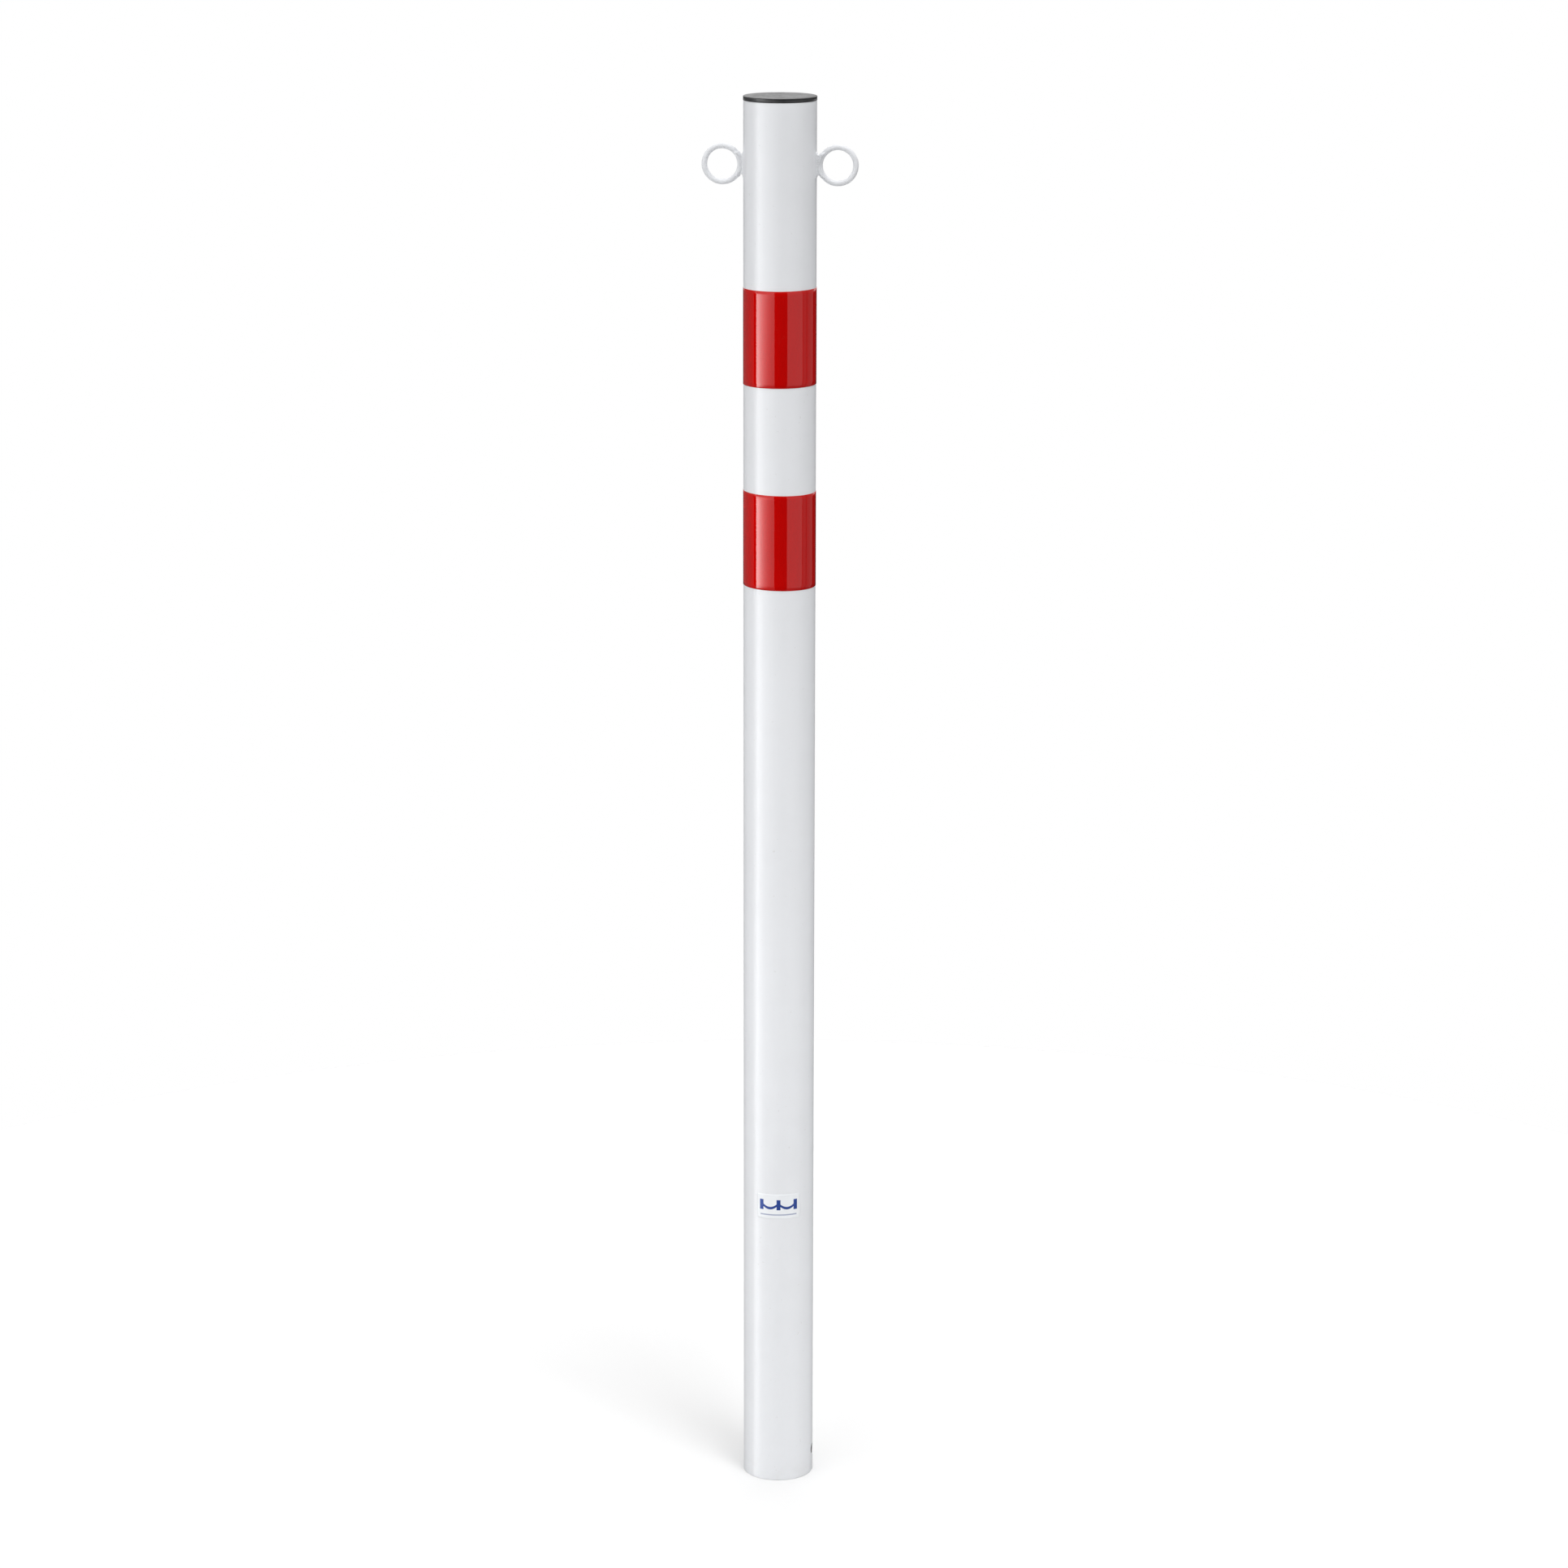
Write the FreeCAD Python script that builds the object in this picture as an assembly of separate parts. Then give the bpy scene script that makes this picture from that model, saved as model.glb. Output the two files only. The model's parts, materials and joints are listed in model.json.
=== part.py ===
import FreeCAD, Part
import math
import os

# Steel chain post for cordoning off parking bays, drives and yards: a white
# coated tube that is set in the ground, with a black plug in its upper end,
# a welded ring on each side for a chain, two red reflective bands, a small
# label, and a cross hole near the foot for an anchor rod.
#
# Millimetres, +Z up. The origin is the centre of the tube's foot, on the
# surface that the foot stands on. The two chain rings lie in the XZ plane,
# and the label faces -Y, turned a little towards +X.

# Overall sizes
OVERALL_HEIGHT = 1200.0
TUBE_OUTER_DIAMETER = 60.3
TUBE_WALL = 2.0

# End cap: a disc that covers the tube's end, on a hollow ribbed plug inside it
CAP_FLANGE_THICKNESS = 3.5
CAP_FLANGE_OVERHANG = 0.25
CAP_UPPER_EDGE_RADIUS = 1.1
CAP_LOWER_EDGE_RADIUS = 0.4
CAP_PLUG_DEPTH = 24.0
CAP_PLUG_WALL = 2.2
CAP_RIB_COUNT = 5
CAP_RIB_THICKNESS = 1.2
CAP_RIB_TAPER = 0.4
CAP_RIB_DEPTH = 2.6
CAP_FIT_CLEARANCE = 0.08

# Chain rings: closed rings of round bar
RING_BAR_DIAMETER = 4.5
RING_INNER_DIAMETER = 25.0
RING_CENTRE_BELOW_TUBE_TOP = 52.5
RING_WELD_GAP = 0.7

# Weld beads that fill the crevice between a ring and the tube.
# The margins are how far a bead stands out past the bar, where it starts and where it ends.
WELD_SPREAD_DEGREES = 38.0
WELD_ROOT_MARGIN = 0.5
WELD_TOE_MARGIN = 1.1
WELD_NOTCH_SHARE = 0.85

# Reflective bands: film wrapped once round the tube, with its end lapped over its start.
# A positive tilt lowers the band's edge on the +X side.
BAND_HEIGHT = 80.0
BAND_SPACING = 89.5
UPPER_BAND_BELOW_TUBE_TOP = 153.0
UPPER_BAND_TILT_DEGREES = -0.3
LOWER_BAND_TILT_DEGREES = 1.0
FILM_THICKNESS = 0.25
FILM_LAP = 10.0

# Label: a small rounded sticker near the foot, turned from -Y towards +X
LABEL_WIDTH = 40.0
LABEL_HEIGHT = 22.0
LABEL_CORNER_RADIUS = 2.0
LABEL_THICKNESS = 0.15
LABEL_CENTRE_HEIGHT = 253.0
LABEL_TURN_DEGREES = 8.0

# Cross hole for an anchor rod, through both walls along X
CROSS_HOLE_DIAMETER = 10.0
CROSS_HOLE_HEIGHT = 20.0

# Worked out from the sizes above
TUBE_LENGTH = OVERALL_HEIGHT - CAP_FLANGE_THICKNESS
TUBE_RADIUS = TUBE_OUTER_DIAMETER / 2
BORE_RADIUS = TUBE_RADIUS - TUBE_WALL
FLANGE_RADIUS = TUBE_RADIUS + CAP_FLANGE_OVERHANG
RIB_RADIUS = BORE_RADIUS - CAP_FIT_CLEARANCE
PLUG_RADIUS = RIB_RADIUS - CAP_RIB_DEPTH
PLUG_BOTTOM = TUBE_LENGTH - CAP_PLUG_DEPTH
RING_BAR_RADIUS = RING_BAR_DIAMETER / 2
RING_MEAN_RADIUS = RING_INNER_DIAMETER / 2 + RING_BAR_RADIUS
RING_OUTER_RADIUS = RING_MEAN_RADIUS + RING_BAR_RADIUS
RING_OFFSET = TUBE_RADIUS + RING_WELD_GAP + RING_OUTER_RADIUS
RING_HEIGHT = TUBE_LENGTH - RING_CENTRE_BELOW_TUBE_TOP
WELD_LENGTH = RING_OUTER_RADIUS * math.sin(math.radians(WELD_SPREAD_DEGREES))
WELD_ROOT_RADIUS = RING_BAR_RADIUS + WELD_ROOT_MARGIN
WELD_TOE_RADIUS = RING_BAR_RADIUS + WELD_TOE_MARGIN
UPPER_BAND_MIDDLE = TUBE_LENGTH - UPPER_BAND_BELOW_TUBE_TOP - BAND_HEIGHT / 2
LOWER_BAND_MIDDLE = UPPER_BAND_MIDDLE - BAND_HEIGHT - BAND_SPACING

SIDES = {"right": 1, "left": -1}
WAYS = {"upper": 1, "lower": -1}


def point(x, y, z):
    return FreeCAD.Vector(x, y, z)


ORIGIN = point(0, 0, 0)
ALONG_X = point(1, 0, 0)
ALONG_Y = point(0, 1, 0)
ALONG_Z = point(0, 0, 1)


def upright_tube(outer_radius, inner_radius, bottom, height):
    """A tube round the post's axis."""
    outer = Part.makeCylinder(outer_radius, height, point(0, 0, bottom))
    inner = Part.makeCylinder(inner_radius, height, point(0, 0, bottom))
    return outer.cut(inner)


def turned(edges):
    """A solid of revolution round the post's axis, from a closed outline in the XZ plane."""
    outline = Part.Face(Part.Wire(edges))
    return outline.revolve(ORIGIN, ALONG_Z, 360)


def straight_edges(corners):
    """Straight edges through points given as (distance from the axis, height)."""
    places = [point(x, 0, z) for x, z in corners]
    return [Part.makeLine(start, end) for start, end in zip(places, places[1:])]


def corner_arc(centre_x, centre_z, radius, start_degrees):
    """A quarter circle in the XZ plane, turning from start_degrees towards +Z."""
    places = []
    for degrees in (start_degrees, start_degrees + 45, start_degrees + 90):
        angle = math.radians(degrees)
        x = centre_x + radius * math.cos(angle)
        z = centre_z + radius * math.sin(angle)
        places.append(point(x, 0, z))
    return Part.Arc(*places).toShape()


def post_tube():
    """The post itself, with the cross hole for an anchor rod through both walls."""
    tube = upright_tube(TUBE_RADIUS, BORE_RADIUS, 0, TUBE_LENGTH)
    hole_start = point(-TUBE_OUTER_DIAMETER, 0, CROSS_HOLE_HEIGHT)
    hole_radius = CROSS_HOLE_DIAMETER / 2
    hole = Part.makeCylinder(hole_radius, 2 * TUBE_OUTER_DIAMETER, hole_start, ALONG_X)
    return tube.cut(hole)


def cap_flange():
    """The disc on the tube's end, with rounded edges."""
    lower_x = FLANGE_RADIUS - CAP_LOWER_EDGE_RADIUS
    lower_z = TUBE_LENGTH + CAP_LOWER_EDGE_RADIUS
    upper_x = FLANGE_RADIUS - CAP_UPPER_EDGE_RADIUS
    upper_z = OVERALL_HEIGHT - CAP_UPPER_EDGE_RADIUS
    underside = [(0, TUBE_LENGTH), (lower_x, TUBE_LENGTH)]
    side = [(FLANGE_RADIUS, lower_z), (FLANGE_RADIUS, upper_z)]
    top = [(upper_x, OVERALL_HEIGHT), (0, OVERALL_HEIGHT), (0, TUBE_LENGTH)]
    edges = straight_edges(underside)
    edges.append(corner_arc(lower_x, lower_z, CAP_LOWER_EDGE_RADIUS, -90))
    edges += straight_edges(side)
    edges.append(corner_arc(upper_x, upper_z, CAP_UPPER_EDGE_RADIUS, 0))
    edges += straight_edges(top)
    return turned(edges)


def cap_rib(bottom):
    """A ring-shaped rib that grips the tube's bore, tapered on its lower side."""
    root = PLUG_RADIUS - CAP_PLUG_WALL / 2
    top = bottom + CAP_RIB_THICKNESS
    corners = [
        (root, bottom),
        (PLUG_RADIUS, bottom),
        (RIB_RADIUS, bottom + CAP_RIB_TAPER),
        (RIB_RADIUS, top),
        (root, top),
        (root, bottom),
    ]
    return turned(straight_edges(corners))


def end_cap():
    """The moulded plug that closes the tube's upper end."""
    plug = upright_tube(PLUG_RADIUS, PLUG_RADIUS - CAP_PLUG_WALL, PLUG_BOTTOM, CAP_PLUG_DEPTH)
    pitch = CAP_PLUG_DEPTH / CAP_RIB_COUNT
    ribs = [cap_rib(PLUG_BOTTOM + number * pitch) for number in range(CAP_RIB_COUNT)]
    return cap_flange().fuse([plug] + ribs).removeSplitter()


def chain_ring(side):
    """A closed ring of round bar, upright in the XZ plane."""
    centre = point(side * RING_OFFSET, 0, RING_HEIGHT)
    return Part.makeTorus(RING_MEAN_RADIUS, RING_BAR_RADIUS, centre, ALONG_Y)


def crevice_width(height):
    """The gap between the tube and the ring, at a height above or below the ring's centre."""
    ring_surface = RING_OFFSET - math.sqrt(RING_OUTER_RADIUS**2 - height**2)
    return ring_surface - TUBE_RADIUS


def weld_bead(side, way):
    """Filler metal in the crevice, from the closest point up or down to a hollow notch.

    A cone along the crevice runs on past both ends, and a level layer trims it.
    """
    root_x = TUBE_RADIUS + RING_WELD_GAP / 2
    toe_x = TUBE_RADIUS + crevice_width(WELD_LENGTH) / 2
    root = point(side * root_x, 0, RING_HEIGHT)
    toe = point(side * toe_x, 0, RING_HEIGHT + way * WELD_LENGTH)
    run = toe - root
    widening = WELD_TOE_RADIUS - WELD_ROOT_RADIUS
    narrow_end = WELD_ROOT_RADIUS - widening
    wide_end = WELD_TOE_RADIUS + widening
    bead = Part.makeCone(narrow_end, wide_end, 3 * run.Length, root - run, run)
    lowest = min(root.z, toe.z)
    width = 2 * RING_OFFSET
    layer = Part.makeBox(width, width, WELD_LENGTH, point(-width / 2, -width / 2, lowest))
    layer.translate(point(side * RING_OFFSET, 0, 0))
    notch_radius = WELD_NOTCH_SHARE * crevice_width(WELD_LENGTH) / 2
    notch_start = toe - ALONG_Y * TUBE_RADIUS
    notch = Part.makeCylinder(notch_radius, TUBE_OUTER_DIAMETER, notch_start, ALONG_Y)
    tube = Part.makeCylinder(TUBE_RADIUS, TUBE_LENGTH)
    return bead.common(layer).cut([tube, chain_ring(side), notch])


def reflective_band(middle, tilt_degrees):
    """Film wrapped once round the tube, lapped over itself at the back, its edges tilted."""
    blank_height = BAND_HEIGHT + TUBE_OUTER_DIAMETER
    blank_bottom = middle - blank_height / 2
    film_radius = TUBE_RADIUS + FILM_THICKNESS
    film = upright_tube(film_radius, TUBE_RADIUS, blank_bottom, blank_height)
    lap_degrees = math.degrees(FILM_LAP / TUBE_RADIUS)
    lap_start = point(0, 0, blank_bottom)
    lap_radius = film_radius + FILM_THICKNESS
    lap = Part.makeCylinder(lap_radius, blank_height, lap_start, ALONG_Z, lap_degrees)
    lap.rotate(ORIGIN, ALONG_Z, 90 - lap_degrees / 2)
    lap = lap.cut(Part.makeCylinder(TUBE_RADIUS, blank_height, lap_start))
    half_width = TUBE_OUTER_DIAMETER
    slab_corner = point(-half_width, -half_width, middle - BAND_HEIGHT / 2)
    slab = Part.makeBox(2 * half_width, 2 * half_width, BAND_HEIGHT, slab_corner)
    slab.rotate(point(0, 0, middle), ALONG_Y, tilt_degrees)
    return film.fuse(lap).common(slab).removeSplitter()


def label():
    """A thin sticker with rounded corners, bent round the tube."""
    bottom = LABEL_CENTRE_HEIGHT - LABEL_HEIGHT / 2
    sheet = upright_tube(TUBE_RADIUS + LABEL_THICKNESS, TUBE_RADIUS, bottom, LABEL_HEIGHT)
    half_angle = LABEL_WIDTH / TUBE_RADIUS / 2
    half_chord = TUBE_RADIUS * math.sin(half_angle)
    blank_corner = point(-half_chord, -TUBE_OUTER_DIAMETER, bottom)
    blank = Part.makeBox(2 * half_chord, TUBE_OUTER_DIAMETER, LABEL_HEIGHT, blank_corner)
    corners = [edge for edge in blank.Edges if edge.BoundBox.YLength > TUBE_RADIUS]
    blank = blank.makeFillet(LABEL_CORNER_RADIUS, corners)
    sticker = sheet.common(blank)
    sticker.rotate(ORIGIN, ALONG_Z, LABEL_TURN_DEGREES)
    return sticker


def all_parts():
    parts = {"post_tube": post_tube(), "end_cap": end_cap()}
    for side_name, side in SIDES.items():
        parts["chain_ring_" + side_name] = chain_ring(side)
        for way_name, way in WAYS.items():
            parts["weld_bead_" + side_name + "_" + way_name] = weld_bead(side, way)
    parts["reflective_band_upper"] = reflective_band(UPPER_BAND_MIDDLE, UPPER_BAND_TILT_DEGREES)
    parts["reflective_band_lower"] = reflective_band(LOWER_BAND_MIDDLE, LOWER_BAND_TILT_DEGREES)
    parts["label"] = label()
    return parts


os.makedirs("parts", exist_ok=True)
for name, shape in all_parts().items():
    shape.exportStep("parts/" + name + ".step")
    print(name, "solids", len(shape.Solids), "volume", round(shape.Volume, 1), "valid", shape.isValid())
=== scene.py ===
"""Chain barrier post: a coated steel tube with welded chain rings, an insert cap and reflective bands.

Each operator builds one piece, or one group of like pieces, around the fixed CAD frame.
"""

import json
import math

import bmesh
import bpy
import numpy as np
from bpy.props import FloatProperty, FloatVectorProperty, IntProperty, PointerProperty
from mathutils import Matrix, Vector


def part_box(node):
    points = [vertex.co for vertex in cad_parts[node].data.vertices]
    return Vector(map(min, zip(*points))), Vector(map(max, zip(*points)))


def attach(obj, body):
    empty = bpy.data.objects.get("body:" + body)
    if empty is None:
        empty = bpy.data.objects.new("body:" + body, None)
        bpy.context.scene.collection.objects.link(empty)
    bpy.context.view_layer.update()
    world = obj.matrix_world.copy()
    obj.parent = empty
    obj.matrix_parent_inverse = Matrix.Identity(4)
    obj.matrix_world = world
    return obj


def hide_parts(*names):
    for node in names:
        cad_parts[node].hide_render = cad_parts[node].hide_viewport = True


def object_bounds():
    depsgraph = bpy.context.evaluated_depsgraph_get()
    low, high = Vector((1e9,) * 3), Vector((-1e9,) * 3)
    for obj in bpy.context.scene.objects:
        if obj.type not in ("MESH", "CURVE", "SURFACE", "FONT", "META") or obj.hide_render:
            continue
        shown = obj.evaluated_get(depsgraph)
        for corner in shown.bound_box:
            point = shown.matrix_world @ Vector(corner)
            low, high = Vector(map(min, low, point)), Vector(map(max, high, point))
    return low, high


bl_info = {
    "name": "Chain barrier post",
    "version": (1, 0, 0),
    "blender": (4, 5, 0),
    "location": "View3D > Sidebar > Barrier post",
    "description": "Builds a coated steel barrier post with chain rings around its CAD frame",
    "category": "Object",
}

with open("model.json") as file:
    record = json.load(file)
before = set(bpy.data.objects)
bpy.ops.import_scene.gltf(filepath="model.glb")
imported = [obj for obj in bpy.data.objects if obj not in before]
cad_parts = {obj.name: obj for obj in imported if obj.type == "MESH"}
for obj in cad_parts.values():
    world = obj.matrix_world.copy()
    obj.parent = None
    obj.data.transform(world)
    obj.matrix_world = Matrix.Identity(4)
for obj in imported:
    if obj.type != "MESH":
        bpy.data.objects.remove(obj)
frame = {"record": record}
cad_low, cad_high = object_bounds()

MM = 0.001
BODY = "root"
TURN = 2 * math.pi
COLUMNS = 256


def mount(name):
    """The record's mount of that name."""
    for entry in frame["record"]["mounts"]:
        if entry["name"] == name:
            return entry
    raise ValueError(f"the record has no mount named {name}")


TUBE_LOW, TUBE_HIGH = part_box("post_tube")
CAP_LOW, CAP_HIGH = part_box("end_cap")
TUBE_RADIUS = (TUBE_HIGH.x - TUBE_LOW.x) / 2
CROSS_HOLE = mount("cross_hole")


# ---------------------------------------------------------------- sizes and colours

def length_value(name, description, value, least=0.0):
    """A length that a user may change, in metres."""
    return FloatProperty(
        name=name, description=description, default=value, min=least, precision=5, unit="LENGTH",
    )


def angle_value(name, description, degrees):
    """An angle that a user may change."""
    return FloatProperty(
        name=name, description=description, default=math.radians(degrees), precision=4, subtype="ANGLE",
    )


def colour_value(name, description, value):
    """A colour that a user may change."""
    return FloatVectorProperty(
        name=name, description=description, default=value, subtype="COLOR", size=3, min=0.0, max=1.0,
    )


class PostSizes(bpy.types.PropertyGroup):
    """Sizes that the frame's boxes and mounts don't give."""

    tube_wall: length_value("Tube wall", "Thickness of the tube's steel", 2.0 * MM, 0.5 * MM)
    cut_rounding: length_value(
        "Cut rounding", "Radius that the coating gives the tube's cut edges",
        0.4 * MM, 0.05 * MM,
    )
    seam_height: length_value(
        "Seam height", "How far the tube's own weld seam stands in inside the bore",
        0.4 * MM, 0.0,
    )
    flange_thickness: length_value(
        "Flange thickness", "Height of the cap's rim above the tube",
        CAP_HIGH.z - TUBE_HIGH.z, 1.0 * MM,
    )
    flange_rounding: length_value(
        "Flange rounding", "Radius of the rim's upper edge",
        0.5 * MM, 0.1 * MM,
    )
    plug_radius: length_value(
        "Plug radius", "Radius of the cap's plug between its ribs",
        25.47 * MM, 5 * MM,
    )
    rib_radius: length_value("Rib radius", "Radius of the ribs that grip the bore", 28.07 * MM, 5 * MM)
    plug_wall: length_value("Plug wall", "Thickness of the plug's wall", 2.2 * MM, 0.5 * MM)
    rib_count: IntProperty(
        name="Ribs", description="Number of ribs round the plug", default=5, min=1, max=12,
    )
    rib_thickness: length_value("Rib thickness", "Thickness of a rib at the plug", 1.2 * MM, 0.2 * MM)
    weld_width: length_value(
        "Weld width", "Half the width of a weld bead at the tube",
        3.35 * MM, 1 * MM,
    )
    weld_height: length_value(
        "Weld height", "How far a weld bead runs from the ring's centre line",
        9.9 * MM, 2 * MM,
    )
    film_thickness: length_value(
        "Film thickness", "Thickness of one layer of reflective film",
        0.25 * MM, 0.05 * MM,
    )
    film_lap: length_value("Film lap", "How far the film's two ends lap at the back", 10 * MM, 1 * MM)
    upper_tilt: angle_value(
        "Upper band tilt", "Slope of the upper band, positive with its +X side low",
        -0.3,
    )
    lower_tilt: angle_value(
        "Lower band tilt", "Slope of the lower band, positive with its +X side low",
        1.0,
    )
    label_corner: length_value("Label corner", "Radius of the label's corners", 2 * MM, 0.2 * MM)
    label_thickness: length_value("Label thickness", "Thickness of the label", 0.15 * MM, 0.03 * MM)


class PostColours(bpy.types.PropertyGroup):
    """Colours of the post's finishes."""

    coating: colour_value(
        "Coating", "Gloss coating of the tube, the rings and the welds",
        (0.795, 0.807, 0.831),
    )
    # This colour also paints the cross hole's wall dark, as painted shade.
    steel: colour_value(
        "Bare steel", "Steel inside the tube where the coating doesn't reach",
        (0.30, 0.29, 0.28),
    )
    plastic: colour_value("Cap plastic", "Moulded plastic of the end cap", (0.022, 0.022, 0.024))
    film: colour_value("Reflective film", "Red film of the bands", (0.515, 0.0012, 0.0006))
    paper: colour_value("Label face", "Face of the label", (0.84, 0.862, 0.885))
    ink: colour_value("Label ink", "Print on the label", (0.006, 0.045, 0.27))
    floor: colour_value("Floor", "Studio floor", (0.76, 0.76, 0.76))


class StudioSettings(bpy.types.PropertyGroup):
    """Camera and light."""

    azimuth: angle_value("Camera azimuth", "Angle of the camera round the post, from -Y towards +X", 8.0)
    distance: length_value("Camera distance", "Level distance from the post's axis to the camera", 3.612)
    rise: length_value("Camera rise", "Height of the camera above the post's top", 0.331)
    pitch: angle_value("Camera pitch", "Angle of the camera below level", 14.14)
    yaw: angle_value("Camera yaw", "Angle of the camera off the post's axis", -0.0653)
    roll: angle_value("Camera roll", "Angle of the camera about its own axis", 0.0998)
    lens: FloatProperty(
        name="Lens", description="Focal length on a 36 mm sensor, in millimetres", default=100.9, min=10,
    )
    floor_radius: length_value("Floor radius", "Radius of the studio floor", 1.25)
    ceiling: FloatProperty(
        name="Ceiling light", description="Brightness of the studio above the windows", default=1.10, min=0,
    )
    key: FloatProperty(
        name="Key light", description="Brightness of the lamps overhead, 1 as designed", default=1.0, min=0,
    )


# ---------------------------------------------------------------- shader maths

class Wire:
    """A shader socket. Sums on wires and numbers add Math nodes."""

    def __init__(self, tree, socket=None):
        self.tree = tree
        self.socket = socket

    def add(self, kind, settings=None, sockets=None, out=0):
        """Adds a node: its settings are set first, then its sockets get their values or links."""
        node = self.tree.nodes.new(kind)
        for name, value in (settings or {}).items():
            if name == "stops":
                ramp = node.color_ramp.elements
                while len(ramp) < len(value):
                    ramp.new(1.0)
                for element, (position, shade) in zip(ramp, value):
                    element.position = position
                    element.color = shade
            else:
                setattr(node, name, value)
        for key, value in (sockets or {}).items():
            if isinstance(value, Wire):
                self.tree.links.new(value.socket, node.inputs[key])
            else:
                node.inputs[key].default_value = value
        return Wire(self.tree, node.outputs[out]) if node.outputs else Wire(self.tree)

    def math(self, operation, *values):
        return self.add("ShaderNodeMath", {"operation": operation}, dict(enumerate(values)))

    def __add__(self, other):
        return self.math("ADD", self, other)

    __radd__ = __add__

    def __sub__(self, other):
        return self.math("SUBTRACT", self, other)

    def __rsub__(self, other):
        return self.math("SUBTRACT", other, self)

    def __mul__(self, other):
        return self.math("MULTIPLY", self, other)

    __rmul__ = __mul__

    def __truediv__(self, other):
        return self.math("DIVIDE", self, other)

    def __rtruediv__(self, other):
        return self.math("DIVIDE", other, self)

    def __neg__(self):
        return self.math("MULTIPLY", self, -1.0)

    def __abs__(self):
        return self.math("ABSOLUTE", self)

    def least(self, other):
        return self.math("MINIMUM", self, other)

    def most(self, other):
        return self.math("MAXIMUM", self, other)

    def length_with(self, other):
        return self.math("SQRT", self * self + other * other)

    def bearing(self, y):
        """The angle of the place (this wire, y), in radians from -Y towards +X."""
        return self.math("ARCTAN2", self, -y)

    def rise(self, start, end):
        """0 up to start, 1 from end, with a soft slope between."""
        return self.add(
            "ShaderNodeMapRange", {"interpolation_type": "SMOOTHSTEP"},
            {"Value": self, "From Min": start, "From Max": end},
        )

    def between(self, low, high, soft):
        """1 between low and high, falling to 0 over soft outside them."""
        return self.rise(low - soft, low) * (1 - self.rise(high, high + soft))

    def mix(self, first, second):
        """The colour that is first where this wire is 0 and second where it is 1."""
        return self.add("ShaderNodeMix", {"data_type": "RGBA"}, {0: self, 6: first, 7: second}, 2)

    def table(self, rows):
        """The number that rows of (this wire's value, number) give, in line between them."""
        first, last = rows[0][0], rows[-1][0]
        tallest = max(number for value, number in rows)
        stops = [
            ((value - first) / (last - first), opaque((number / tallest,) * 3)) for value, number in rows
        ]
        ramp = self.add("ShaderNodeValToRGB", {"stops": stops}, {"Fac": (self - first) / (last - first)})
        return ramp * tallest

    def noise(self, scale, detail=2.0, roughness=0.5):
        """Noise about 0.5, with this wire as its place."""
        return self.add(
            "ShaderNodeTexNoise", None,
            {"Vector": self, "Scale": scale, "Detail": detail, "Roughness": roughness},
        )

    def stretched(self, x, y, z):
        """This place with its axes scaled."""
        return self.add("ShaderNodeVectorMath", {"operation": "MULTIPLY"}, {0: self, 1: (x, y, z)})

    def axes(self):
        """The three numbers of this vector."""
        parts = self.add("ShaderNodeSeparateXYZ", None, {0: self}).socket.node.outputs
        return [Wire(self.tree, part) for part in parts]


# What gathers on the finishes.
SOIL = (0.42, 0.39, 0.34, 1.0)
RUB_MARK = (0.40, 0.39, 0.37, 1.0)
# Dust on the cap's top: partly real dust, partly a painted sheen on the top face.
CAP_DUST_AND_SHEEN = (0.36, 0.35, 0.33, 1.0)
FILM_DUST = (0.34, 0.20, 0.18, 1.0)


def opaque(rgb):
    return (*rgb, 1.0)


def shaded(rgb, factor):
    """A colour made lighter or darker."""
    return tuple(min(1.0, part * factor) for part in rgb) + (1.0,)


def new_finish(name):
    """An empty material, with a wire to start its sums and the object's own place."""
    material = bpy.data.materials.new(name)
    material.use_nodes = True
    material.node_tree.nodes.clear()
    start = Wire(material.node_tree)
    return material, start, start.add("ShaderNodeTexCoord", out="Object")


def finish_with(start, constants, wired, bumps=()):
    """Ends a material with its shader. Bumps are (height wire, depth in metres), coarse first."""
    normal = None
    for height, depth in bumps:
        sockets = {"Height": height, "Distance": depth}
        if normal is not None:
            sockets["Normal"] = normal
        normal = start.add("ShaderNodeBump", None, sockets)
    sockets = {**constants, **wired}
    if normal is not None:
        sockets["Normal"] = normal
    shader = start.add("ShaderNodeBsdfPrincipled", None, sockets)
    start.add("ShaderNodeOutputMaterial", None, {"Surface": shader})


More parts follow.
